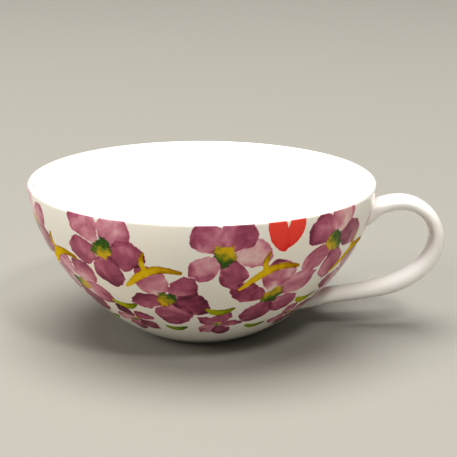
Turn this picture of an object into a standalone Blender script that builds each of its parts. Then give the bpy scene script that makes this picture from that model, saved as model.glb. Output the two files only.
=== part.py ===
"""Teacup: a wide, thin bowl on a low foot ring, with a drop-shaped loop handle luted on with slip.

Lengths are in metres, written as millimetres times MM. Every piece is drawn about the bowl's own axis, and
one empty then moves them together, so that the origin lies under the middle of the whole cup, on the table.
+X points along the handle and +Z up.
"""

import math

import bmesh
import bpy
import numpy as np

MM = 0.001

# One outer curve runs from the table to the lip, as a cubic Bezier in (radius, height). Its first part is the
# foot ring's and the rest is the bowl's; the shares are where each of them stops and starts along the curve.
FOOT_RADIUS = 18.0 * MM
BELLY_LOW = (37.3 * MM, 8.8 * MM)
BELLY_HIGH = (54.0 * MM, 29.7 * MM)
RIM_RADIUS = 55.0 * MM
RIM_HEIGHT = 48.3 * MM
RING_SHARE = 1 / 12
BOWL_SHARE = 0.094

# The wall is thinnest at the lip, which is rolled over as half a circle.
LIP_THICKNESS = 1.8 * MM
BASE_THICKNESS = 3.3 * MM
WALL_TAPER = 1.5
FLOOR_HEIGHT = 6.0 * MM

# Under the bowl the foot ring stands round a shallow recess.
RING_WIDTH = 3.6 * MM
RING_EDGE_RADIUS = 0.5 * MM
RECESS_DEPTH = 3.4 * MM
RECESS_SHOULDER = 0.9 * MM

# The handle's centre line, from inside the upper wall round to inside the belly. Each station is
# (distance from the bowl's axis, height, thickness in the loop's plane, width across it).
HANDLE_STATIONS = [
    (47.0 * MM, 36.6 * MM, 10.8 * MM, 11.4 * MM),
    (52.2 * MM, 38.4 * MM, 8.4 * MM, 10.8 * MM),
    (55.2 * MM, 39.7 * MM, 5.8 * MM, 10.2 * MM),
    (58.6 * MM, 40.9 * MM, 5.1 * MM, 9.8 * MM),
    (63.7 * MM, 41.6 * MM, 4.8 * MM, 9.5 * MM),
    (68.6 * MM, 40.3 * MM, 4.5 * MM, 9.4 * MM),
    (72.6 * MM, 36.9 * MM, 4.5 * MM, 9.3 * MM),
    (74.8 * MM, 31.8 * MM, 4.8 * MM, 9.2 * MM),
    (74.4 * MM, 26.2 * MM, 5.3 * MM, 9.0 * MM),
    (71.4 * MM, 20.9 * MM, 5.6 * MM, 8.9 * MM),
    (66.4 * MM, 16.8 * MM, 5.6 * MM, 8.8 * MM),
    (59.8 * MM, 13.8 * MM, 5.4 * MM, 8.7 * MM),
    (51.0 * MM, 11.8 * MM, 5.0 * MM, 8.6 * MM),
    (41.5 * MM, 10.4 * MM, 4.7 * MM, 8.6 * MM),
    (34.0 * MM, 8.8 * MM, 4.9 * MM, 8.8 * MM),
    (24.0 * MM, 7.2 * MM, 4.4 * MM, 8.6 * MM),
]
UPPER_STATIONS = 4
LOWER_STATIONS = 3
SECTION_POWER = 2.3

# A film of slip joins each end of the handle to the wall, squeezed out a little past the handle.
GAP = 0.3 * MM
SLIP_THICKNESS = 0.4 * MM
SLIP_BEAD = 0.25 * MM

# Facets.
TURN_STEPS = 80
OUTER_STEPS = 16
LIP_STEPS = 5
INNER_STEPS = 14
FLOOR_STEPS = 5
RING_STEPS = 3
EDGE_STEPS = 3
SECTION_SIDES = 24
STEPS_PER_STATION = 3
MERGE_DISTANCE = 0.002 * MM
SHARP_ANGLE = math.radians(40.0)


def clear_scene():
    for item in list(bpy.data.objects):
        bpy.data.objects.remove(item, do_unlink=True)


def bezier(points, steps, start=0.0):
    """Points and unit tangents of a cubic Bezier, from a starting parameter to its end."""
    a, b, c, d = np.array(points, float)
    t = np.linspace(start, 1.0, steps + 1)[:, None]
    place = (1 - t) ** 3 * a + 3 * t * (1 - t) ** 2 * b + 3 * t**2 * (1 - t) * c + t**3 * d
    slope = (1 - t) ** 2 * (b - a) + 2 * t * (1 - t) * (c - b) + t**2 * (d - c)
    return place, slope / np.linalg.norm(slope, axis=1)[:, None]


def outside(steps, start=0.0):
    return bezier([(FOOT_RADIUS, 0.0), BELLY_LOW, BELLY_HIGH, (RIM_RADIUS, RIM_HEIGHT)], steps, start)


def outer_curve(offset=0.0):
    """The bowl's outside, bottom to top, moved outwards by offset."""
    place, tangent = outside(OUTER_STEPS, BOWL_SHARE)
    outward = np.stack([tangent[:, 1], -tangent[:, 0]], axis=1)
    return place + offset * outward


def inner_curve():
    """The bowl's inside, from the lip down to the floor: the outside moved in by the wall's thickness."""
    place, tangent = outside(INNER_STEPS, BOWL_SHARE)
    inward = np.stack([-tangent[:, 1], tangent[:, 0]], axis=1)
    lowness = np.linspace(1.0, 0.0, INNER_STEPS + 1)[:, None]
    thickness = LIP_THICKNESS + (BASE_THICKNESS - LIP_THICKNESS) * lowness**WALL_TAPER
    return (place + thickness * inward)[::-1]


def arc(centre, radius, start, end, steps):
    """Points on an arc between two angles in degrees, measured from +radius towards +height."""
    angles = np.radians(np.linspace(start, end, steps + 1))
    return np.stack([centre[0] + radius * np.cos(angles), centre[1] + radius * np.sin(angles)], axis=1)


def bowl_profile():
    """From the middle of the underside, out and up the outside, over the lip and down to the floor."""
    side = outer_curve()
    seat_height = side[0][1]
    recess_edge = FOOT_RADIUS - RING_WIDTH
    underside = [
        (0.0, RECESS_DEPTH),
        (recess_edge / 2, RECESS_DEPTH),
        (recess_edge - RECESS_SHOULDER, RECESS_DEPTH),
        (recess_edge, seat_height),
    ]
    lip_radius = LIP_THICKNESS / 2
    lip = arc((RIM_RADIUS - lip_radius, RIM_HEIGHT), lip_radius, 0.0, 180.0, LIP_STEPS)
    inside = inner_curve()
    wall_foot = inside[-1]
    floor_slope = (inside[-2] - wall_foot) / (inside[-2] - wall_foot)[0]
    floor_reach = wall_foot[0] / 3
    bend = wall_foot - floor_reach * floor_slope
    floor, _ = bezier([wall_foot, bend, (floor_reach, FLOOR_HEIGHT), (0.0, FLOOR_HEIGHT)], FLOOR_STEPS)
    return np.vstack([underside, side, lip[1:], inside[1:], floor[1:]])


def ring_profile():
    """The foot ring's section: a flat resting face, and an outside that carries on the bowl's curve."""
    inner = FOOT_RADIUS - RING_WIDTH
    edge = RING_EDGE_RADIUS
    curve, _ = outside(round(RING_STEPS / RING_SHARE))
    flank = curve[: RING_STEPS + 1]
    inner_edge = arc((inner + edge, edge), edge, 180.0, 270.0, EDGE_STEPS)
    return np.vstack([[(inner, flank[-1][1])], inner_edge, flank])


def envelope_profile(offset):
    """A solid that fills the bowl's outside moved outwards by offset, open nowhere."""
    side = outer_curve(offset)
    clear_height = RIM_HEIGHT + 10 * LIP_THICKNESS
    below = (0.0, side[0][1])
    above = [(side[-1][0], clear_height), (0.0, clear_height)]
    return np.vstack([[below], side, above])


def finish_object(name, work, material):
    """Turn a bmesh into a named object with outward faces, soft shading and its material."""
    bmesh.ops.remove_doubles(work, verts=work.verts, dist=MERGE_DISTANCE)
    bmesh.ops.recalc_face_normals(work, faces=work.faces)
    mesh = bpy.data.meshes.new(name)
    work.to_mesh(mesh)
    work.free()
    mesh.shade_smooth()
    mesh.set_sharp_from_angle(angle=SHARP_ANGLE)
    if material is not None:
        mesh.materials.append(material)
    item = bpy.data.objects.new(name, mesh)
    bpy.context.scene.collection.objects.link(item)
    return item


def lathe(name, profile, material=None, closed=False):
    """Spin a profile of (radius, height) points once round the bowl's axis."""
    work = bmesh.new()
    corners = [work.verts.new((radius, 0.0, height)) for radius, height in profile]
    pairs = list(zip(corners, corners[1:]))
    if closed:
        pairs.append((corners[-1], corners[0]))
    edges = [work.edges.new(pair) for pair in pairs]
    bmesh.ops.spin(
        work,
        geom=corners + edges,
        cent=(0.0, 0.0, 0.0),
        axis=(0.0, 0.0, 1.0),
        angle=2 * math.pi,
        steps=TURN_STEPS,
        use_merge=True,
    )
    return finish_object(name, work, material)


def smooth_stations(stations):
    """A natural cubic spline through the stations, with its slope, at a few steps for each of them."""
    knots = np.array(stations, float)
    last = len(knots) - 1
    system = np.eye(last + 1)
    bend = np.zeros_like(knots)
    for k in range(1, last):
        system[k, k - 1 : k + 2] = (1.0, 4.0, 1.0)
        bend[k] = 6 * (knots[k - 1] - 2 * knots[k] + knots[k + 1])
    curvature = np.linalg.solve(system, bend)
    place, slope = [], []
    for step in range(last * STEPS_PER_STATION + 1):
        k = min(step // STEPS_PER_STATION, last - 1)
        b = step / STEPS_PER_STATION - k
        a = 1.0 - b
        place.append(
            a * knots[k]
            + b * knots[k + 1]
            + ((a**3 - a) * curvature[k] + (b**3 - b) * curvature[k + 1]) / 6
        )
        slope.append(
            knots[k + 1] - knots[k] + ((1 - 3 * a**2) * curvature[k] + (3 * b**2 - 1) * curvature[k + 1]) / 6
        )
    return np.array(place), np.array(slope)


def soft_oval(angle):
    """A point of a unit oval that is a little squarer than an ellipse."""
    across, up = math.cos(angle), math.sin(angle)
    power = 2.0 / SECTION_POWER
    return math.copysign(abs(across) ** power, across), math.copysign(abs(up) ** power, up)


def loft_handle(name, first, last, swell, material):
    """Skin the handle's sections between two stations, each grown by swell all round."""
    place, slope = smooth_stations(HANDLE_STATIONS)
    work = bmesh.new()
    rings = []
    for step in range(first * STEPS_PER_STATION, last * STEPS_PER_STATION + 1):
        reach, height, thickness, width = place[step]
        along = slope[step][:2] / np.linalg.norm(slope[step][:2])
        ring = []
        for side in range(SECTION_SIDES):
            across, up = soft_oval(2 * math.pi * side / SECTION_SIDES)
            lift = up * (thickness / 2 + swell)
            point = (reach - along[1] * lift, across * (width / 2 + swell), height + along[0] * lift)
            ring.append(work.verts.new(point))
        rings.append(ring)
    for ring, following in zip(rings, rings[1:]):
        for side in range(SECTION_SIDES):
            beside = (side + 1) % SECTION_SIDES
            work.faces.new((ring[side], ring[beside], following[beside], following[side]))
    work.faces.new(rings[0])
    work.faces.new(rings[-1])
    return finish_object(name, work, material)


def hidden_cutter(name, offset):
    cutter = lathe(name, envelope_profile(offset))
    cutter.hide_render = True
    cutter.display_type = "WIRE"
    return cutter


def cut(item, cutter, operation):
    modifier = item.modifiers.new(f"{operation.lower()} {cutter.name}", "BOOLEAN")
    modifier.object = cutter
    modifier.operation = operation
    modifier.solver = "EXACT"


def china(name, colour, roughness, coat):
    """A ceramic surface; coat is the weight of the clear glaze over it."""
    material = bpy.data.materials.new(name)
    material.use_nodes = True
    shader = material.node_tree.nodes["Principled BSDF"]
    shader.inputs["Base Color"].default_value = (*colour, 1.0)
    shader.inputs["Roughness"].default_value = roughness
    shader.inputs["Metallic"].default_value = 0.0
    shader.inputs["Coat Weight"].default_value = coat
    return material


def make_bowl():
    return lathe("bowl", bowl_profile(), china("printed_china", (0.80, 0.72, 0.70), 0.12, 1.0))


def make_foot_ring():
    return lathe("foot_ring", ring_profile(), china("ground_foot", (0.78, 0.75, 0.69), 0.55, 0.0), closed=True)


def make_handle(wall_cutter):
    last = len(HANDLE_STATIONS) - 1
    handle = loft_handle("handle", 0, last, 0.0, china("white_china", (0.86, 0.84, 0.79), 0.12, 1.0))
    cut(handle, wall_cutter, "DIFFERENCE")
    return handle


def make_slip_joint(name, first, last, near_cutter, far_cutter, material):
    """The film of slip between the wall and one end of the handle."""
    joint = loft_handle(name, first, last, SLIP_BEAD, material)
    cut(joint, near_cutter, "DIFFERENCE")
    cut(joint, far_cutter, "INTERSECT")
    return joint


def make_cup():
    clear_scene()
    film_start = hidden_cutter("film_start_cutter", GAP)
    film_end = hidden_cutter("film_end_cutter", GAP + SLIP_THICKNESS)
    handle_end = hidden_cutter("handle_end_cutter", GAP + SLIP_THICKNESS + GAP)
    slip = china("glazed_slip", (0.84, 0.81, 0.75), 0.15, 1.0)
    last = len(HANDLE_STATIONS) - 1
    handle = make_handle(handle_end)
    pieces = [
        make_bowl(),
        make_foot_ring(),
        handle,
        make_slip_joint("upper_slip_joint", 0, UPPER_STATIONS, film_start, film_end, slip),
        make_slip_joint("lower_slip_joint", last - LOWER_STATIONS, last, film_start, film_end, slip),
    ]
    handle_reach = max(corner.co.x for corner in handle.data.vertices)
    centre = bpy.data.objects.new("bowl_axis", None)
    bpy.context.scene.collection.objects.link(centre)
    centre.location.x = (RIM_RADIUS - handle_reach) / 2
    for item in pieces + [film_start, film_end, handle_end]:
        item.parent = centre


make_cup()
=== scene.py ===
"""The teacup's looks: a bowl with a watercolour flower print under its glaze, a loop handle and a foot."""

import math

import bpy
import numpy as np
from mathutils import Matrix, Vector


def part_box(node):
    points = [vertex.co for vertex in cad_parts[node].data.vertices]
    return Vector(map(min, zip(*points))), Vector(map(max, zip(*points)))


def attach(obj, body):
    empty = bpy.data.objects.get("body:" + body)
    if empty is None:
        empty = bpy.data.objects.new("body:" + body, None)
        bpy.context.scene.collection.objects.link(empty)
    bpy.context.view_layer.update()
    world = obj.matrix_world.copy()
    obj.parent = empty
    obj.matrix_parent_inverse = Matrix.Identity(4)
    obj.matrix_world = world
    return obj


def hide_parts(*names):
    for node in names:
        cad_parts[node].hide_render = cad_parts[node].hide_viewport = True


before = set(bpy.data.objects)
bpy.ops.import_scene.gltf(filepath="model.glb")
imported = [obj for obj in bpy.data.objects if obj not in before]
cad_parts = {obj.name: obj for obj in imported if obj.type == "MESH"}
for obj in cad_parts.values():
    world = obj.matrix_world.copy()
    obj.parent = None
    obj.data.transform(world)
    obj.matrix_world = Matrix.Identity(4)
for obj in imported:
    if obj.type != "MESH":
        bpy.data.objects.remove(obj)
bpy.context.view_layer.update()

MM = 0.001

# ---------------------------------------------------------------------------------------------------------
# Shape: the design's own dimensions, placed by the frame's boxes.

BOWL_LOW, BOWL_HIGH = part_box("bowl")
RING_LOW, RING_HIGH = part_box("foot_ring")
AXIS_X = (BOWL_LOW[0] + BOWL_HIGH[0]) / 2
RIM_RADIUS = (BOWL_HIGH[0] - BOWL_LOW[0]) / 2
LIP_RADIUS = 0.9 * MM
RIM_HEIGHT = BOWL_HIGH[2] - LIP_RADIUS
HANDLE_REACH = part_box("handle")[1][0] - AXIS_X
FOOT_RADIUS = 18.0 * MM
BELLY_LOW = (37.3 * MM, 8.8 * MM)
BELLY_HIGH = (54.0 * MM, 29.7 * MM)
# Shares of the outer curve, from the table up: the foot ring's, and where the inner wall meets the floor.
RING_SHARE = 1 / 12
FLOOR_SHARE = 0.094
RING_INNER = 14.4 * MM
RING_EDGE = 0.45 * MM
SEAM_RADII = (17.0 * MM, 20.0 * MM)
BASE_THICKNESS = 3.3 * MM
WALL_TAPER = 1.5
FLOOR_HEIGHT = 6.0 * MM
RECESS_DEPTH = 3.4 * MM
RECESS_ROUNDING = 1.2 * MM

# The handle's middle line and section in mm: out from the axis, up, thickness in the loop, width across it.
HANDLE_STATIONS = [
    (47.0, 36.6, 10.8, 11.4),
    (52.2, 38.4, 8.4, 10.8),
    (55.2, 39.7, 5.8, 10.2),
    (58.6, 40.9, 5.1, 9.8),
    (63.7, 41.6, 4.8, 9.5),
    (68.6, 40.3, 4.5, 9.4),
    (72.6, 36.9, 4.5, 9.3),
    (74.8, 31.8, 4.8, 9.2),
    (74.4, 26.2, 5.3, 9.0),
    (71.4, 20.9, 5.6, 8.9),
    (66.4, 16.8, 5.6, 8.8),
    (59.8, 13.8, 5.4, 8.7),
    (51.0, 11.8, 5.0, 8.6),
    (41.5, 10.4, 4.7, 8.6),
    (34.0, 8.8, 4.9, 8.8),
    (24.0, 7.2, 4.4, 8.6),
]
SECTION_POWER = 2.3


def bezier(points, t):
    a, b, c, d = np.array(points, float)
    t = np.asarray(t, float)[:, None]
    place = (1 - t) ** 3 * a + 3 * t * (1 - t) ** 2 * b + 3 * t**2 * (1 - t) * c + t**3 * d
    slope = (1 - t) ** 2 * (b - a) + 2 * t * (1 - t) * (c - b) + t**2 * (d - c)
    return place, slope / np.linalg.norm(slope, axis=1)[:, None]


def outside(t):
    """(radius, height) and unit tangents on the cup's outside, from the table (t 0) to the lip (t 1)."""
    return bezier([(FOOT_RADIUS, 0.0), BELLY_LOW, BELLY_HIGH, (RIM_RADIUS, RIM_HEIGHT)], t)


FINE_T = np.linspace(0.0, 1.0, 2001)
FINE_OUT, FINE_TANGENT = outside(FINE_T)
FINE_STEP = np.hypot(*np.diff(FINE_OUT, axis=0).T)
FINE_LENGTH = np.concatenate([[0.0], np.cumsum(FINE_STEP)])
WALL_LENGTH = FINE_LENGTH[-1]
# A conformal height: equal steps of it and of the angle are equally long everywhere on the wall.
FINE_MAP = np.concatenate([[0.0], np.cumsum(FINE_STEP / ((FINE_OUT[1:, 0] + FINE_OUT[:-1, 0]) / 2))])
FINE_MAP -= FINE_MAP[-1]


def t_at_length(length):
    return np.interp(length, FINE_LENGTH, FINE_T)


def outside_distance(radius, height):
    """How far a point is outside the outer wall, along the wall's normal; negative inside."""
    radius, height = np.atleast_1d(radius), np.atleast_1d(height)
    result = np.empty(radius.shape)
    coarse, tangent = FINE_OUT[::5], FINE_TANGENT[::5]
    for k in range(len(radius)):
        across = radius[k] - coarse[:, 0]
        up = height[k] - coarse[:, 1]
        nearest = np.argmin(across**2 + up**2)
        result[k] = across[nearest] * tangent[nearest, 1] - up[nearest] * tangent[nearest, 0]
    return result


# ---------------------------------------------------------------------------------------------------------
# Meshes.

# Points in a ring, and how narrow a ring is to have fewer of them.
MANY, SOME, FEW = 640, 320, 160
NARROW_OUTSIDE = 37.0 * MM
NARROW_INSIDE = 36.0 * MM
# Rings under the bowl and on the foot's resting face, in mm from the axis, and one up the foot's inner face.
RECESS_RADII = (1.5, 4.0, 7.0, 10.0, 12.6)
RESTING_RADII = (15.6, 16.4, 17.2)
INNER_FACE_HEIGHT = 1.2 * MM
# How many rings each stretch of the bowl has.
OUTER_RINGS = 112
LIP_STEPS = 10
LIP_ROWS_INSIDE = 3
INNER_RINGS = 60
FLOOR_RINGS = 16


def stitch(lower, upper, faces):
    """Faces between two rings of vertex indices with as many, twice as many or half as many points."""
    if len(lower) == len(upper):
        for k in range(len(lower)):
            n = (k + 1) % len(lower)
            faces.append((lower[k], lower[n], upper[n], upper[k]))
    elif len(upper) == 2 * len(lower):
        for k in range(len(lower)):
            n = (k + 1) % len(lower)
            a, b, c = upper[2 * k], upper[2 * k + 1], upper[(2 * k + 2) % len(upper)]
            faces.extend([(lower[k], b, a), (lower[k], lower[n], b), (lower[n], c, b)])
    else:
        for k in range(len(upper)):
            n = (k + 1) % len(upper)
            a, b, c = lower[2 * k], lower[2 * k + 1], lower[(2 * k + 2) % len(lower)]
            faces.extend([(a, b, upper[k]), (b, upper[n], upper[k]), (b, c, upper[n])])


def turned(rings):
    """Vertices and faces of a turned solid. A ring is (radius, height, points); radius 0 closes it."""
    vertices, faces, before = [], [], None
    for radius, height, count in rings:
        if radius == 0.0:
            now = [len(vertices)]
            vertices.append((AXIS_X, 0.0, height))
        else:
            now = list(range(len(vertices), len(vertices) + count))
            angle = 2 * math.pi * np.arange(count) / count
            x = AXIS_X + radius * np.cos(angle)
            y = radius * np.sin(angle)
            vertices.extend(zip(x, y, np.full(count, height)))
        if before is not None:
            if len(before) == 1:
                faces.extend((before[0], now[(k + 1) % len(now)], now[k]) for k in range(len(now)))
            elif len(now) == 1:
                faces.extend((before[k], before[(k + 1) % len(before)], now[0]) for k in range(len(before)))
            else:
                stitch(before, now, faces)
        before = now
    return vertices, faces


def add_piece(name, vertices, faces, replaced, sharp=math.radians(50)):
    mesh = bpy.data.meshes.new(name)
    mesh.from_pydata([tuple(map(float, v)) for v in vertices], [], faces)
    mesh.validate()
    mesh.shade_smooth()
    mesh.set_sharp_from_angle(angle=sharp)
    piece = bpy.data.objects.new(name, mesh)
    bpy.context.scene.collection.objects.link(piece)
    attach(piece, "root")
    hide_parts(replaced)
    return piece


def bowl_rings():
    """The bowl's section as rings, from under its middle, up the outside and down the inside."""
    seam = outside([RING_SHARE])[0][0]
    rings = [(0.0, RECESS_DEPTH, 1)]
    rings += [(r * MM, RECESS_DEPTH, FEW) for r in RECESS_RADII]
    for a in np.radians(np.linspace(0, 90, 6)):
        drop = RECESS_DEPTH - seam[1]
        rings.append((RING_INNER - RECESS_ROUNDING * (1 - math.sin(a)), seam[1] + drop * math.cos(a), FEW))
    rings += [(radius, seam[1], FEW) for radius in SEAM_RADII]
    start = float(np.interp(RING_SHARE, FINE_T, FINE_LENGTH))
    lengths = np.linspace(start, WALL_LENGTH, OUTER_RINGS)
    places = outside(t_at_length(lengths))[0]
    first_outer = len(rings)
    for place in places:
        rings.append((place[0], place[1], SOME if place[0] < NARROW_OUTSIDE else MANY))
    for a in np.radians(np.linspace(0, 180, LIP_STEPS + 1)[1:]):
        lip = (RIM_RADIUS - LIP_RADIUS + LIP_RADIUS * math.cos(a), RIM_HEIGHT + LIP_RADIUS * math.sin(a))
        rings.append((*lip, MANY))
    lowness = np.linspace(0.0, 1.0, INNER_RINGS)[1:]
    place, tangent = outside(1.0 - lowness * (1 - FLOOR_SHARE))
    thickness = 2 * LIP_RADIUS + (BASE_THICKNESS - 2 * LIP_RADIUS) * lowness[:, None] ** WALL_TAPER
    inside = place + thickness * np.stack([-tangent[:, 1], tangent[:, 0]], axis=1)
    for k, (radius, height) in enumerate(inside):
        narrow = SOME if radius > NARROW_INSIDE else FEW
        rings.append((radius, height, MANY if k < LIP_ROWS_INSIDE else narrow))
    slope = (inside[-2] - inside[-1]) / (inside[-2] - inside[-1])[0]
    reach = inside[-1][0] / 3
    floor = bezier([inside[-1], inside[-1] - reach * slope, (reach, FLOOR_HEIGHT), (0.0, FLOOR_HEIGHT)],
                   np.linspace(0, 1, FLOOR_RINGS)[1:])[0]
    rings += [(radius, height, FEW) for radius, height in floor[:-1]]
    rings.append((0.0, FLOOR_HEIGHT, 1))
    return rings, first_outer


def make_bowl():
    rings, first_outer = bowl_rings()
    vertices, faces = turned(rings)
    bowl = add_piece("bowl_glazed", vertices, faces, "bowl")
    return bowl, rings, first_outer


def make_foot_ring():
    """The foot: its outside carries on the bowl's curve, its resting face is flat with softened edges."""
    seam = outside([RING_SHARE])[0][0]
    section = [(RING_INNER, seam[1]), (RING_INNER, INNER_FACE_HEIGHT)]
    section += [(RING_INNER + RING_EDGE - RING_EDGE * math.cos(a), RING_EDGE - RING_EDGE * math.sin(a))
                for a in np.radians(np.linspace(0, 90, 8))]
    section += [(r * MM, 0.0) for r in RESTING_RADII]
    section += [tuple(p) for p in outside(np.linspace(0.0, RING_SHARE, 14))[0]]
    section += [(radius, seam[1]) for radius in reversed(SEAM_RADII)]
    vertices, faces, first, before = [], [], None, None
    angle = 2 * math.pi * np.arange(SOME) / SOME
    for radius, height in section:
        now = list(range(len(vertices), len(vertices) + SOME))
        vertices.extend(zip(AXIS_X + radius * np.cos(angle), radius * np.sin(angle), np.full(SOME, height)))
        if before:
            stitch(before, now, faces)
        first, before = first or now, now
    stitch(before, first, faces)
    return add_piece("foot_ring_glazed", vertices, faces, "foot_ring", math.radians(60))


def spline(knots, s):
    """A natural cubic spline through the knots at parameters s, with its slope."""
    knots = np.array(knots, float)
    last = len(knots) - 1
    system, bend = np.eye(last + 1), np.zeros_like(knots)
    for k in range(1, last):
        system[k, k - 1 : k + 2] = (1.0, 4.0, 1.0)
        bend[k] = 6 * (knots[k - 1] - 2 * knots[k] + knots[k + 1])
    curvature = np.linalg.solve(system, bend)
    k = np.clip(s.astype(int), 0, last - 1)
    b = (s - k)[:, None]
    a = 1 - b
    place = a * knots[k] + b * knots[k + 1] + ((a**3 - a) * curvature[k] + (b**3 - b) * curvature[k + 1]) / 6
    slope = knots[k + 1] - knots[k] + ((1 - 3 * a**2) * curvature[k] + (3 * b**2 - 1) * curvature[k + 1]) / 6
    return place, slope


HANDLE_SIDES = 72
HANDLE_STEPS = 260
LINE_POINTS = 900


def handle_lines():
    """Points on the untrimmed handle, [side, step], in axis coordinates, with the centre line's points."""
    s = np.linspace(0, len(HANDLE_STATIONS) - 1, LINE_POINTS)
    place, slope = spline(HANDLE_STATIONS, s)
    place = place * MM
    along = slope[:, :2] / np.linalg.norm(slope[:, :2], axis=1)[:, None]
    angle = 2 * math.pi * np.arange(HANDLE_SIDES) / HANDLE_SIDES
    power = 2 / SECTION_POWER
    across = np.sign(np.cos(angle)) * np.abs(np.cos(angle)) ** power
    up = np.sign(np.sin(angle)) * np.abs(np.sin(angle)) ** power
    lift = up[:, None] * place[None, :, 2] / 2
    x = place[None, :, 0] - along[None, :, 1] * lift
    z = place[None, :, 1] + along[None, :, 0] * lift
    y = across[:, None] * place[None, :, 3] / 2
    centre = np.stack([place[:, 0], np.zeros(len(place)), place[:, 1]], axis=1)
    return np.stack([x, y, z], axis=2), centre


def crossing(distance, level, reverse):
    """The fractional step where a line first goes below the level, walking out from its middle."""
    middle = len(distance) // 2
    order = range(middle, 0, -1) if not reverse else range(middle, len(distance) - 1)
    for k in order:
        n = k - 1 if not reverse else k + 1
        if distance[n] <= level:
            return k + (n - k) * (distance[k] - level) / (distance[k] - distance[n])
    raise ValueError("the handle's line never meets the wall")


def at_step(line, step):
    k = np.clip(np.floor(step).astype(int), 0, len(line) - 2)
    b = (np.asarray(step) - k)[..., None]
    return (1 - b) * line[k] + b * line[k + 1]


# How far the handle's ends go into the wall, a bead's reach, how deep its edges and its root are sunk.
EMBED = 0.7 * MM
BEAD = 0.8 * MM
BEAD_EDGE = 0.02 * MM
BEAD_ROOT = 0.35 * MM
BEAD_POINTS = 9


def make_handle():
    lines, centre = handle_lines()
    rings, starts, ends = [], [], []
    for line in lines:
        gap = outside_distance(np.hypot(line[:, 0], line[:, 1]), line[:, 2])
        starts.append((crossing(gap, -EMBED, False), crossing(gap, 0.0, False)))
        ends.append((crossing(gap, -EMBED, True), crossing(gap, 0.0, True)))
    share = np.linspace(0, 1, HANDLE_STEPS)
    grid = np.stack([at_step(line, a[0] + (b[0] - a[0]) * share) for line, a, b in zip(lines, starts, ends)])
    grid = grid.transpose(1, 0, 2)
    grid[..., 0] = np.minimum(grid[..., 0], HANDLE_REACH)
    vertices = [tuple(p) for p in grid.reshape(-1, 3) + (AXIS_X, 0, 0)]
    faces = []
    for k in range(HANDLE_STEPS - 1):
        lower = list(range(k * HANDLE_SIDES, (k + 1) * HANDLE_SIDES))
        upper = list(range((k + 1) * HANDLE_SIDES, (k + 2) * HANDLE_SIDES))
        stitch(upper, lower, faces)
    for ring, turn in ((0, -1), (HANDLE_STEPS - 1, 1)):
        hub = len(vertices)
        vertices.append(tuple(grid[ring].mean(axis=0) + (AXIS_X, 0, 0)))
        for k in range(HANDLE_SIDES):
            pair = (ring * HANDLE_SIDES + k, ring * HANDLE_SIDES + (k + 1) % HANDLE_SIDES)
            faces.append((hub, *pair[::-turn]))
    handle = add_piece("handle_glazed", vertices, faces, "handle")
    make_bead("upper_slip_bead", "upper_slip_joint", lines, centre, [a[1] for a in starts], 1)
    make_bead("lower_slip_bead", "lower_slip_joint", lines, centre, [b[1] for b in ends], -1)
    return handle


def wall_normal(point):
    radius = math.hypot(point[0], point[1])
    k = np.argmin((FINE_OUT[:, 0] - radius) ** 2 + (FINE_OUT[:, 1] - point[2]) ** 2)
    out, up = FINE_TANGENT[k, 1], -FINE_TANGENT[k, 0]
    return np.array([out * point[0] / radius, out * point[1] / radius, up])


def onto_wall(point, depth):
    radius = math.hypot(point[0], point[1])
    away = outside_distance(radius, point[2])[0]
    return point - (away + depth) * wall_normal(point)


def make_bead(name, node, lines, centre, steps, away):
    """A concave bead of slip round one end of the handle, from the handle's skin down onto the wall."""
    meets = np.array([at_step(line, s) for line, s in zip(lines, steps)])
    middle = meets.mean(axis=0)
    sections = []
    for line, step, meet in zip(lines, steps, meets):
        pitch = np.linalg.norm(at_step(line, step + 1.0) - at_step(line, step))
        on_handle = at_step(line, step + away * BEAD / pitch)
        inward = at_step(centre, step + away * BEAD / pitch) - on_handle
        inward /= np.linalg.norm(inward)
        normal = wall_normal(meet)
        spread = meet - middle
        spread -= normal * (spread @ normal)
        spread /= np.linalg.norm(spread)
        on_wall = onto_wall(meet + BEAD * spread, BEAD_EDGE)
        on_handle = on_handle + inward * BEAD_EDGE
        t = np.linspace(0, 1, BEAD_POINTS)[:, None]
        arc = (1 - t) ** 2 * on_wall + 2 * t * (1 - t) * meet + t**2 * on_handle
        corner = meet - normal * BEAD_ROOT + inward * BEAD_ROOT
        root = [on_handle + inward * BEAD_ROOT, corner, on_wall - normal * BEAD_ROOT]
        sections.append(np.vstack([arc, *root]))
    grid = np.array(sections)
    points = grid.shape[1]
    vertices = [tuple(p) for p in grid.reshape(-1, 3) + (AXIS_X, 0, 0)]
    faces = []
    for k in range(HANDLE_SIDES):
        n = (k + 1) % HANDLE_SIDES
        for j in range(points):
            m = (j + 1) % points
            quad = (k * points + j, n * points + j, n * points + m, k * points + m)
            faces.append(quad if away > 0 else quad[::-1])
    add_piece(name, vertices, faces, node, math.radians(70))


# ---------------------------------------------------------------------------------------------------------
# Print: a generic repeat of five-petalled watercolour blossoms, in a conformal map of the wall, so that a
# shape keeps its form anywhere on it. Its colours follow the photograph. Its layout doesn't: every repeat
# round the wall has a blossom in each row and the same strokes, and the middle row is half a repeat along.
# The petals' shapes and tones are drawn at random.
# Places are (degrees from the front towards the handle, mm below the rim along the wall).
# Headings are degrees from straight up, clockwise seen from outside; lengths and widths are mm.

REPEATS = 9
REPEAT_ANGLE = 360 / REPEATS
FIRST_ANGLE = 8.0
PETALS_EACH = 5
PETAL_TURN = 360 / PETALS_EACH
PETAL_MIDDLE = 0.60
FIRST_SEED = 70
HEART_SEED = 900
RED_EVERY = 3
# What chance varies: headings in degrees, tones, lengths by the reach and widths by the length.
HEADING_SPREAD = 9
TONE_SPREAD = 0.24
LENGTH_SHARE = (0.72, 0.9)
WIDTH_SHARE = (0.68, 0.9)

# Rows of blossoms: place in the repeat as a share of it, depth, reach, size of heart, tone.
BLOSSOM_ROWS = [
    (0.0, 9.5, 15.5, 8.2, 0.44),
    (0.5, 27.0, 15.0, 7.6, 0.54),
    (0.0, 41.0, 8.5, 3.6, 0.60),
]

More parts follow.
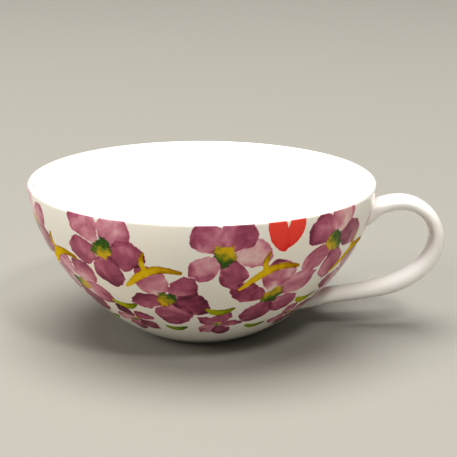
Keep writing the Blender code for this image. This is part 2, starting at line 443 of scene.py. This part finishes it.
# Strokes of each repeat: hue (0 red, 0.25 orange, 0.5 ochre, 0.75 yellow-green, 1 green), then points of
# (degrees into the repeat, depth, half width).
SPRIG = [
    (0.50, (6.0, 22.5, 0.6), (9.5, 19.5, 1.2), (14.5, 16.0, 1.5), (20.0, 14.6, 1.3), (26.0, 15.4, 0.7)),
    (0.52, (14.5, 16.0, 0.8), (13.5, 12.5, 0.9), (14.5, 9.0, 0.4)),
    (0.76, (-5.5, 31.5, 0.6), (0.0, 33.5, 1.6), (5.5, 31.5, 0.6)),
    (0.88, (15.0, 43.0, 0.5), (20.0, 44.6, 1.4), (25.0, 43.0, 0.6)),
]
# Red petals that hang from the rim, in every third repeat.
RED_PETALS = [
    (0.02, (15.5, -2.0, 2.2), (16.5, 2.5, 3.0), (18.2, 6.5, 2.2), (19.4, 8.8, 0.7)),
    (0.05, (23.5, -2.0, 2.0), (22.8, 2.0, 2.8), (21.6, 5.5, 2.0), (20.6, 7.8, 0.6)),
]


def blossoms(wall):
    """The petals and hearts of every blossom, as rows for wall.petal."""
    petals, hearts = [], []
    for row, (share, depth, reach, heart, tone) in enumerate(BLOSSOM_ROWS):
        for n in range(REPEATS):
            chance = np.random.default_rng(FIRST_SEED + row * REPEATS + n)
            angle = FIRST_ANGLE + (n + share) * REPEAT_ANGLE
            radius = wall.place(angle, depth)[2]
            first = chance.uniform(0, PETAL_TURN)
            for k in range(PETALS_EACH):
                heading = first + PETAL_TURN * k + chance.uniform(-HEADING_SPREAD, HEADING_SPREAD)
                length = reach * chance.uniform(*LENGTH_SHARE)
                width = length * chance.uniform(*WIDTH_SHARE)
                out = PETAL_MIDDLE * length
                turn = math.degrees(out * math.sin(math.radians(heading)) / radius)
                drop = out * math.cos(math.radians(heading))
                shade = tone + chance.uniform(-TONE_SPREAD, TONE_SPREAD)
                petals.append((1 + (k + n) % 4, angle + turn, depth - drop, heading, length, width,
                               chance.uniform(0.5, 0.64), chance.uniform(-0.8, 0.8), 0.5, shade))
            hearts.append((0, angle, depth, chance.uniform(0, 360), heart, heart, 0.55, 0.0, 0.8,
                           chance.uniform(0.42, 0.6)))
    return petals, hearts


def repeated_strokes():
    """The strokes of every repeat, as rows for wall.stroke."""
    rows = []
    for n in range(REPEATS):
        start = FIRST_ANGLE + n * REPEAT_ANGLE
        strokes = SPRIG + (RED_PETALS if n % RED_EVERY == 0 else [])
        for hue, *points in strokes:
            rows.append((hue, *[(start + angle, depth, half) for angle, depth, half in points]))
    return rows


# In mm: where the print ends over the lip, the depth stored off the wall, the limits of a stored distance,
# the distance given to what is too far off to work out, how far off that is, and how softly dabs join.
PRINT_TOP = -0.50
NOT_WALL = -5.0
SIGN_LIMITS = (-4.0, 2.0)
FAR_AWAY = 9.0
PETAL_MARGIN = 4.0
STROKE_MARGIN = 5.0
JOIN_SOFTNESS = 0.9
# Counts: printed rings past the lip's start, points round a petal, and points between a stroke's knots.
LIP_RINGS = 4
OUTLINE_POINTS = 72
STROKE_POINTS = 10


def petal_outline(length, width, belly, bend, lobes, seed):
    """A petal's outline in mm, its middle at the origin and its tip up."""
    s = (1 - np.cos(np.linspace(0, np.pi, OUTLINE_POINTS // 2 + 1))) / 2
    power = math.log(0.5) / math.log(belly)
    half = width / 2 * np.sin(np.pi * s**power) ** 0.62
    x = np.concatenate([half, -half[-2:0:-1]])
    y = length * (np.concatenate([s, s[-2:0:-1]]) - 0.5)
    turn = 2 * np.pi * np.arange(len(x)) / len(x)
    wave = np.random.default_rng(seed).uniform(0, 2 * np.pi, 4)
    swell = sum(np.sin(k * turn + p) / k**0.7 for k, p in zip((2, 3, 5, 9), wave)) * 1.6
    radius = np.hypot(x, y) + 1e-9
    x, y = x * (1 + lobes * 0.55 * swell / radius), y * (1 + lobes * 0.55 * swell / radius)
    return np.stack([x + bend * (1 - (2 * y / length) ** 2), y], axis=1)


def outline_distance(points, outline):
    """Signed distances to a closed outline, negative inside."""
    a, b = outline, np.roll(outline, -1, axis=0)
    edge = b - a
    to_point = points[:, None, :] - a[None]
    share = np.clip((to_point * edge).sum(2) / (edge**2).sum(1), 0, 1)
    away = to_point - share[..., None] * edge
    distance = np.sqrt((away**2).sum(2).min(1))
    crosses = ((a[None, :, 1] > points[:, None, 1]) != (b[None, :, 1] > points[:, None, 1])) & (
        points[:, None, 0] < edge[None, :, 0] * to_point[..., 1] / (edge[None, :, 1] + 1e-12) + a[None, :, 0])
    inside = crosses.sum(1) % 2 == 1
    return np.where(inside, -distance, distance)


class Wall:
    """The outer wall's vertices in the print's own coordinates."""

    def __init__(self, mesh, first_outer, rings):
        counts = [r[2] for r in rings[first_outer : first_outer + OUTER_RINGS + LIP_RINGS]]
        start = sum(r[2] for r in rings[:first_outer])
        self.where = slice(start, start + sum(counts))
        self.total = len(mesh.vertices)
        co = np.zeros(self.total * 3)
        mesh.vertices.foreach_get("co", co)
        co = co.reshape(-1, 3)[self.where]
        self.angle = np.arctan2(co[:, 0] - AXIS_X, -co[:, 1])
        lengths = np.linspace(float(np.interp(RING_SHARE, FINE_T, FINE_LENGTH)), WALL_LENGTH, OUTER_RINGS)
        beyond = WALL_LENGTH + LIP_RADIUS * math.pi / LIP_STEPS * np.arange(1, LIP_RINGS + 1)
        self.length = np.repeat(np.concatenate([lengths, beyond]), counts)
        self.up = np.interp(self.length, FINE_LENGTH, FINE_MAP)
        self.up += np.maximum(0.0, self.length - WALL_LENGTH) / RIM_RADIUS
        self.radius = np.hypot(co[:, 0] - AXIS_X, co[:, 1]) / MM

    def place(self, angle, depth):
        length = WALL_LENGTH - depth * MM
        up = np.interp(length, FINE_LENGTH, FINE_MAP) + max(0.0, -depth * MM) / RIM_RADIUS
        radius = np.interp(length, FINE_LENGTH, FINE_OUT[:, 0]) / MM
        return math.radians(angle), up, radius

    def local(self, angle, depth):
        """Every wall vertex in mm to the right of and above a place, at that place's scale."""
        turn, up, radius = self.place(angle, depth)
        right = (self.angle - turn + np.pi) % (2 * np.pi) - np.pi
        return np.stack([right * radius, (self.up - up) * radius], axis=1), radius

    def petal(self, row, seed):
        _, angle, depth, heading, length, width, belly, bend, lobes, tone = row
        points, radius = self.local(angle, depth)
        a = math.radians(heading)
        points = points @ np.array([[math.cos(a), math.sin(a)], [-math.sin(a), math.cos(a)]])
        near = np.hypot(points[:, 0], points[:, 1]) < (length + width) / 2 + PETAL_MARGIN
        distance = np.full(len(points), FAR_AWAY)
        outline = petal_outline(length, width, belly, bend, lobes, seed)
        distance[near] = outline_distance(points[near], outline) * self.radius[near] / radius
        along = np.clip(points[:, 1] / length + 0.5, 0, 1)
        return distance, along, np.full(len(points), tone)

    def stroke(self, row):
        tone, path = row[0], row[1:]
        middle = path[len(path) // 2]
        points, radius = self.local(middle[0], middle[1])
        turn0, up0, _ = self.place(middle[0], middle[1])
        knots, widths = [], []
        for angle, depth, half in path:
            turn, up, _ = self.place(angle, depth)
            knots.append(((turn - turn0) * radius, (up - up0) * radius))
            widths.append(half)
        s = np.linspace(0, len(knots) - 1, STROKE_POINTS * (len(knots) - 1) + 1)
        line, _ = spline(np.column_stack([knots, widths]), s)
        distance, along = np.full(len(points), FAR_AWAY), np.zeros(len(points))
        low, high = line[:, :2].min(0) - STROKE_MARGIN, line[:, :2].max(0) + STROKE_MARGIN
        near = np.all((points > low) & (points < high), axis=1)
        a, b = line[:-1], line[1:]
        edge = (b - a)[:, :2]
        to_point = points[near][:, None, :] - a[None, :, :2]
        share = np.clip((to_point * edge).sum(2) / (edge**2).sum(1), 0, 1)
        away = np.hypot(*np.moveaxis(to_point - share[..., None] * edge, 2, 0))
        away = away - (a[None, :, 2] + share * (b - a)[None, :, 2])
        best = away.argmin(1)
        rows = np.arange(len(best))
        distance[near] = away[rows, best] * self.radius[near] / radius
        along[near] = (best + share[rows, best]) / len(a)
        return distance, along, np.full(len(points), tone)

    def store(self, mesh, name, dabs):
        """Join dabs into one layer: signed distance in mm, place along the dab, and tone, at each vertex."""
        distance = np.array([d[0] for d in dabs])
        nearest = distance.min(axis=0)
        weight = np.exp(-(distance - nearest) / JOIN_SOFTNESS)
        weight /= weight.sum(axis=0)
        layer = np.tile([SIGN_LIMITS[1], 0.0, 0.0], (self.total, 1))
        layer[self.where, 0] = np.clip(nearest, *SIGN_LIMITS)
        layer[self.where, 1] = (weight * np.array([d[1] for d in dabs])).sum(axis=0)
        layer[self.where, 2] = (weight * np.array([d[2] for d in dabs])).sum(axis=0)
        attribute = mesh.attributes.new(name, "FLOAT_VECTOR", "POINT")
        attribute.data.foreach_set("vector", layer.astype(np.float32).ravel())


def print_layers(mesh, first_outer, rings):
    wall = Wall(mesh, first_outer, rings)
    petals, hearts = blossoms(wall)
    for wash in (1, 2, 3, 4):
        dabs = [wall.petal(row, seed) for seed, row in enumerate(petals) if row[0] == wash]
        wall.store(mesh, f"wash_{wash}", dabs)
    wall.store(mesh, "heart", [wall.petal(row, HEART_SEED + n) for n, row in enumerate(hearts)])
    wall.store(mesh, "stroke", [wall.stroke(row) for row in repeated_strokes()])
    height = np.full(wall.total, NOT_WALL)
    height[wall.where] = (WALL_LENGTH - wall.length) / MM
    attribute = mesh.attributes.new("depth", "FLOAT", "POINT")
    attribute.data.foreach_set("value", height.astype(np.float32))


# ---------------------------------------------------------------------------------------------------------
# Materials.


def rgb(red, green, blue):
    """An sRGB colour in 0 to 255 as linear values."""
    def linear(v):
        v /= 255
        return v / 12.92 if v <= 0.04045 else ((v + 0.055) / 1.055) ** 2.4
    return (linear(red), linear(green), linear(blue), 1.0)


class Graph:
    """A material's node tree, with short calls for the nodes used here."""

    def __init__(self, name):
        self.material = bpy.data.materials.new(name)
        self.material.use_nodes = True
        self.nodes = self.material.node_tree.nodes
        self.links = self.material.node_tree.links
        self.shader = self.nodes["Principled BSDF"]

    def put(self, socket, value):
        if isinstance(value, bpy.types.NodeSocket):
            self.links.new(value, socket)
        elif value is not None:
            socket.default_value = value

    def node(self, kind, **settings):
        node = self.nodes.new(kind)
        for key, value in settings.items():
            setattr(node, key, value)
        return node

    def math(self, operation, a, b=None, c=None, clamp=False):
        node = self.node("ShaderNodeMath", operation=operation, use_clamp=clamp)
        for socket, value in zip(node.inputs, (a, b, c)):
            self.put(socket, value)
        return node.outputs[0]

    def add(self, *values):
        total = values[0]
        for value in values[1:]:
            total = self.math("ADD", total, value)
        return total

    def times(self, a, b):
        return self.math("MULTIPLY", a, b)

    def step(self, value, low, high):
        """A smooth rise from 0 at low to 1 at high; a fall if low is above high."""
        node = self.node("ShaderNodeMapRange", interpolation_type="SMOOTHSTEP")
        if low < high:
            pairs = (low, high, 0.0, 1.0)
        else:
            pairs = (high, low, 1.0, 0.0)
        self.put(node.inputs["Value"], value)
        for key, number in zip(("From Min", "From Max", "To Min", "To Max"), pairs):
            node.inputs[key].default_value = number
        return node.outputs["Result"]

    def object_mm(self, shift=(0, 0, 0), stretch=(1, 1, 1)):
        coordinates = self.node("ShaderNodeTexCoord").outputs["Object"]
        node = self.node("ShaderNodeMapping")
        self.put(node.inputs["Vector"], coordinates)
        node.inputs["Location"].default_value = shift
        node.inputs["Scale"].default_value = tuple(1000 * s for s in stretch)
        return node.outputs["Vector"]

    def noise(self, place, scale, detail=3.0, roughness=0.5, distortion=0.0):
        """Noise around 0, about -0.5 to 0.5. The scale is per mm."""
        node = self.node("ShaderNodeTexNoise")
        self.put(node.inputs["Vector"], place)
        node.inputs["Scale"].default_value = scale
        node.inputs["Detail"].default_value = detail
        node.inputs["Roughness"].default_value = roughness
        node.inputs["Distortion"].default_value = distortion
        return self.math("SUBTRACT", node.outputs["Fac"], 0.5)

    def ramp(self, value, *stops):
        node = self.node("ShaderNodeValToRGB")
        self.put(node.inputs["Fac"], value)
        elements = node.color_ramp.elements
        while len(elements) < len(stops):
            elements.new(0.5)
        for element, (place, colour) in zip(elements, stops):
            element.position = place
            element.color = colour
        return node.outputs["Color"]

    def mix_value(self, share, a, b):
        node = self.node("ShaderNodeMix", data_type="FLOAT")
        for socket, value in zip((node.inputs[0], node.inputs[2], node.inputs[3]), (share, a, b)):
            self.put(socket, value)
        return node.outputs[0]

    def mix(self, share, a, b, blend="MIX"):
        node = self.node("ShaderNodeMix", data_type="RGBA", blend_type=blend)
        self.put(node.inputs[0], share)
        self.put(node.inputs[6], a)
        self.put(node.inputs[7], b)
        return node.outputs[2]

    def layer(self, name):
        """A print layer's signed distance in mm, place along its dabs, and tone."""
        node = self.node("ShaderNodeAttribute", attribute_type="GEOMETRY", attribute_name=name)
        split = self.node("ShaderNodeSeparateXYZ")
        self.put(split.inputs[0], node.outputs["Vector"])
        return split.outputs[0], split.outputs[1], split.outputs[2]

    def bump(self, height, distance, strength=1.0):
        node = self.node("ShaderNodeBump")
        self.put(node.inputs["Height"], height)
        node.inputs["Distance"].default_value = distance
        node.inputs["Strength"].default_value = strength
        self.put(self.shader.inputs["Normal"], node.outputs["Normal"])


WHITE = (1.0, 1.0, 1.0, 1.0)
CHINA = rgb(248, 245, 239)
CHINA_COOL = rgb(243, 243, 240)
CHINA_WARM = rgb(247, 240, 227)
COAT = 0.40
# Specular IOR Level of the bare glaze, of the washes and of the strokes.
GLAZE_SHINE, PRINT_SHINE, STROKE_SHINE = 0.5, 0.12, 0.0


def glaze(graph):
    """Glossy china: a warm white that drifts a little, fine ripple in the glaze, a few faint specks."""
    place = graph.object_mm()
    drift = graph.noise(place, 0.05, 2.0)
    cloud = graph.noise(place, 0.35, 3.0)
    base = graph.ramp(graph.add(0.5, graph.times(drift, 0.9), graph.times(cloud, 0.25)),
                      (0.2, CHINA_COOL), (0.5, CHINA), (0.85, CHINA_WARM))
    specks = graph.step(graph.noise(graph.object_mm((7, 3, 1)), 0.9, 1.0), 0.335, 0.36)
    base = graph.mix(graph.times(specks, 0.25), base, rgb(190, 176, 150))
    ripple = graph.noise(place, 0.22, 2.0)
    fine = graph.noise(place, 1.4, 2.0)
    graph.bump(graph.add(graph.times(ripple, 1.0), graph.times(fine, 0.08)), 0.00012, 0.5)
    wear = graph.noise(graph.object_mm((2, 9, 4)), 0.6, 5.0, 0.65)
    graph.put(graph.shader.inputs["Roughness"], graph.add(0.085, graph.times(wear, 0.10)))
    graph.shader.inputs["IOR"].default_value = 1.5
    graph.shader.inputs["Coat Weight"].default_value = COAT
    graph.shader.inputs["Coat Roughness"].default_value = 0.03
    return base


WASHES = [(1, (0, 0, 0)), (2, (31, 7, 3)), (3, (11, 43, 9)), (4, (5, 17, 61))]
PALE = rgb(246, 216, 222)
ROSE = rgb(222, 148, 172)
MAUVE = rgb(182, 92, 126)
PLUM = rgb(138, 56, 88)
DEEP = rgb(84, 34, 58)


def wash(graph, name, shift):
    """How much pigment one wash lays down: nothing outside it, deeper at its rims and where it pooled."""
    distance, along, tone = graph.layer(name)
    place = graph.object_mm(shift)
    ragged = graph.noise(place, 1.1, 4.0, 0.6)
    wander = graph.noise(place, 0.28, 2.0)
    distance = graph.add(distance, graph.times(ragged, 0.85), graph.times(wander, 1.8))
    soft = graph.step(graph.noise(place, 0.17, 2.0), 0.10, 0.30)
    mask = graph.step(distance, 0.17, -0.17)
    faded = graph.step(distance, 0.4, -2.6)
    mask = graph.times(mask, graph.mix_value(soft, 1.0, faded))
    crisp = graph.step(graph.noise(place, 0.2, 2.0), -0.12, 0.16)
    line = graph.times(graph.step(distance, -0.5, 0.0), crisp)
    rim = graph.times(graph.step(distance, -2.6, 0.0), crisp)
    bloom = graph.noise(place, 0.13, 2.0, 0.5, 0.5)
    mottle = graph.noise(place, 0.5, 4.0, 0.55)
    grain = graph.noise(place, 4.2, 2.0, 0.6)
    slope = graph.times(graph.math("SUBTRACT", along, 0.5), 0.30)
    depth = graph.add(tone, slope, graph.times(bloom, 1.10), graph.times(mottle, 0.30),
                      graph.times(grain, 0.18))
    depth = graph.add(depth, graph.times(rim, 0.21), graph.times(line, 0.12), 0.02)
    return graph.times(mask, graph.math("MAXIMUM", depth, 0.10))


def printed(name):
    """The bowl's glaze over a watercolour print of blossoms."""
    graph = Graph(name)
    base = glaze(graph)
    place = graph.object_mm((3, 5, 2))
    jag = graph.noise(place, 1.15, 5.0, 0.75)
    heart, side, green = graph.layer("heart")
    heart = graph.add(heart, graph.times(jag, 3.8), 0.35)
    heart_mask = graph.step(heart, 0.12, -0.10)
    halo = graph.step(graph.add(heart, graph.times(graph.noise(place, 0.45, 2.0), 1.6)), -0.35, 0.0)
    stroke, along, hue = graph.layer("stroke")
    stroke = graph.add(stroke, graph.times(graph.noise(place, 0.9, 4.0), 0.6))
    stroke_mask = graph.step(stroke, 0.10, -0.10)
    clear = graph.step(graph.add(stroke, graph.times(graph.noise(place, 0.5, 2.0), 1.2)), -0.25, 0.05)
    layers = [wash(graph, f"wash_{k}", shift) for k, shift in WASHES]
    deepest = layers[0]
    for other in layers[1:]:
        deepest = graph.math("MAXIMUM", deepest, other)
    pigment = graph.add(graph.times(graph.add(*layers), 0.32), graph.times(deepest, 0.68))
    pigment = graph.times(graph.times(graph.times(pigment, halo), clear), 0.85)
    petals = graph.ramp(pigment, (0.0, WHITE), (0.09, PALE), (0.29, ROSE), (0.50, MAUVE), (0.71, PLUM),
                        (0.98, DEEP))
    ink = graph.mix(1.0, base, petals, "MULTIPLY")
    mottle = graph.noise(place, 0.5, 4.0, 0.6)
    pool = graph.step(graph.add(stroke, graph.times(mottle, 3.2)), -1.5, 0.3)
    hue = graph.add(hue, graph.times(mottle, 0.12))
    light_ink = graph.ramp(hue, (0.0, rgb(252, 78, 68)), (0.12, rgb(252, 80, 68)), (0.25, rgb(240, 180, 20)),
                           (0.48, rgb(244, 206, 30)), (0.60, rgb(228, 202, 34)), (0.75, rgb(184, 186, 30)),
                           (0.92, rgb(110, 150, 28)))
    pooled_ink = graph.ramp(hue, (0.0, rgb(240, 54, 52)), (0.12, rgb(240, 58, 52)), (0.25, rgb(214, 140, 6)),
                            (0.48, rgb(176, 122, 4)), (0.60, rgb(160, 138, 8)), (0.75, rgb(108, 128, 14)),
                            (0.92, rgb(62, 108, 16)))
    wet = graph.add(graph.times(pool, 0.46), graph.times(graph.math("SUBTRACT", along, 0.38), 1.0))
    hue_colour = graph.mix(graph.step(wet, 0.0, 0.9), light_ink, pooled_ink)
    ink = graph.mix(stroke_mask, ink, hue_colour, "MULTIPLY")
    turn = graph.add(graph.times(side, 1.4), graph.times(mottle, 1.7), graph.times(green, -1.4), 0.5)
    turn = graph.add(turn, graph.times(graph.step(heart, -1.2, 0.1), -0.14), 0.03)
    heart_colour = graph.ramp(turn, (0.12, rgb(50, 88, 20)), (0.38, rgb(92, 122, 18)),
                              (0.60, rgb(170, 156, 20)), (0.86, rgb(222, 186, 18)))
    ink = graph.mix(heart_mask, ink, heart_colour, "MULTIPLY")
    depth_node = graph.node("ShaderNodeAttribute", attribute_type="GEOMETRY", attribute_name="depth")
    below = graph.step(depth_node.outputs["Fac"], PRINT_TOP, PRINT_TOP + 0.25)
    ink = graph.mix(1.0, ink, (1.0, 0.982, 0.93, 1.0), "MULTIPLY")
    graph.put(graph.shader.inputs["Base Color"], graph.mix(below, base, ink))
    shine = graph.mix_value(stroke_mask, PRINT_SHINE, STROKE_SHINE)
    graph.put(graph.shader.inputs["Specular IOR Level"], graph.mix_value(below, GLAZE_SHINE, shine))
    graph.put(graph.shader.inputs["Coat Weight"], graph.mix_value(below, COAT, 0.0))
    return graph.material


def plain(name):
    graph = Graph(name)
    graph.put(graph.shader.inputs["Base Color"], glaze(graph))
    return graph.material


def ground_foot(name):
    """Glazed like the bowl, except for the bare, finely ground face that stands on the table."""
    graph = Graph(name)
    base = glaze(graph)
    height = graph.node("ShaderNodeSeparateXYZ")
    graph.put(height.inputs[0], graph.object_mm())
    grit = graph.noise(graph.object_mm(), 3.0, 4.0, 0.7)
    bare = graph.step(graph.add(height.outputs["Z"], graph.times(grit, 0.3)), 0.30, 0.12)
    dust = graph.ramp(graph.add(0.5, grit), (0.3, rgb(205, 198, 184)), (0.7, rgb(226, 220, 208)))
    graph.put(graph.shader.inputs["Base Color"], graph.mix(bare, base, dust))
    graph.put(graph.shader.inputs["Roughness"], graph.add(0.09, graph.times(bare, 0.55)))
    graph.put(graph.shader.inputs["Coat Weight"], graph.math("SUBTRACT", COAT, graph.times(bare, COAT)))
    return graph.material


bowl, rings, first_outer = make_bowl()
print_layers(bowl.data, first_outer, rings)
foot = make_foot_ring()
handle = make_handle()
bowl.data.materials.append(printed("printed_glaze"))
foot.data.materials.append(ground_foot("foot_glaze"))
handle.data.materials.append(plain("white_glaze"))
for name in ("upper_slip_bead", "lower_slip_bead"):
    bpy.data.objects[name].data.materials.append(plain(name + "_glaze"))


# ---------------------------------------------------------------------------------------------------------
# Studio.

CAMERA_TARGET = Vector((AXIS_X + 8.35 * MM, 0.0, 32.4 * MM))
CAMERA_DISTANCE = 0.45
CAMERA_ELEVATION = math.radians(15.83)
CAMERA_ROLL = math.radians(0.305)
CAMERA_LENS = 110.7
LIGHT_AIM = (0.0, 0.0, 0.03)
FLOOR_HALF = 8.0


def make_camera():
    data = bpy.data.cameras.new("camera")
    data.lens = CAMERA_LENS
    data.sensor_width = 36.0
    data.clip_start, data.clip_end = 0.01, 20.0
    camera = bpy.data.objects.new("camera", data)
    bpy.context.scene.collection.objects.link(camera)
    back = Vector((0.0, -math.cos(CAMERA_ELEVATION), math.sin(CAMERA_ELEVATION)))
    up = Vector((0.0, math.sin(CAMERA_ELEVATION), math.cos(CAMERA_ELEVATION)))
    right = Vector((1.0, 0.0, 0.0))
    c, s = math.cos(CAMERA_ROLL), math.sin(CAMERA_ROLL)
    right, up = right * c + up * s, up * c - right * s
    turn = Matrix((right, up, back)).transposed()
    camera.matrix_world = Matrix.Translation(CAMERA_TARGET + back * CAMERA_DISTANCE) @ turn.to_4x4()
    bpy.context.scene.camera = camera


def area_light(name, place, aim, size, power, colour=(1, 1, 1)):
    data = bpy.data.lights.new(name, "AREA")
    data.shape = "DISK"
    data.size = size
    data.energy = power
    data.color = colour
    lamp = bpy.data.objects.new(name, data)
    bpy.context.scene.collection.objects.link(lamp)
    lamp.location = place
    lamp.rotation_mode = "QUATERNION"
    lamp.rotation_quaternion = (Vector(aim) - Vector(place)).to_track_quat("-Z", "Y")


def make_studio():
    scene = bpy.context.scene
    scene.view_settings.view_transform = "Standard"
    world = bpy.data.worlds.new("studio")
    world.use_nodes = True
    world.node_tree.nodes["Background"].inputs["Color"].default_value = (1.0, 0.97, 0.92, 1.0)
    world.node_tree.nodes["Background"].inputs["Strength"].default_value = 0.16
    scene.world = world
    area_light("top_softbox", (-0.15, 0.10, 2.2), LIGHT_AIM, 2.0, 92.0, (1.0, 0.99, 0.975))
    area_light("left_softbox", (-1.72, -0.50, 1.02), LIGHT_AIM, 0.9, 18.0, (1.0, 0.965, 0.90))
    area_light("front_softbox", (0.70, -1.30, 1.95), (0.02, 0, 0.03), 0.40, 24.0, (1.0, 0.99, 0.97))
    floor = bpy.data.meshes.new("floor")
    corners = [(x * FLOOR_HALF, y * FLOOR_HALF, 0) for x, y in ((-1, -1), (1, -1), (1, 1), (-1, 1))]
    floor.from_pydata(corners, [], [(0, 1, 2, 3)])
    stage = bpy.data.objects.new("floor", floor)
    scene.collection.objects.link(stage)
    material = bpy.data.materials.new("pale_floor")
    material.use_nodes = True
    shader = material.node_tree.nodes["Principled BSDF"]
    shader.inputs["Base Color"].default_value = rgb(140, 137, 129)
    shader.inputs["Roughness"].default_value = 0.7
    floor.materials.append(material)


make_camera()
make_studio()
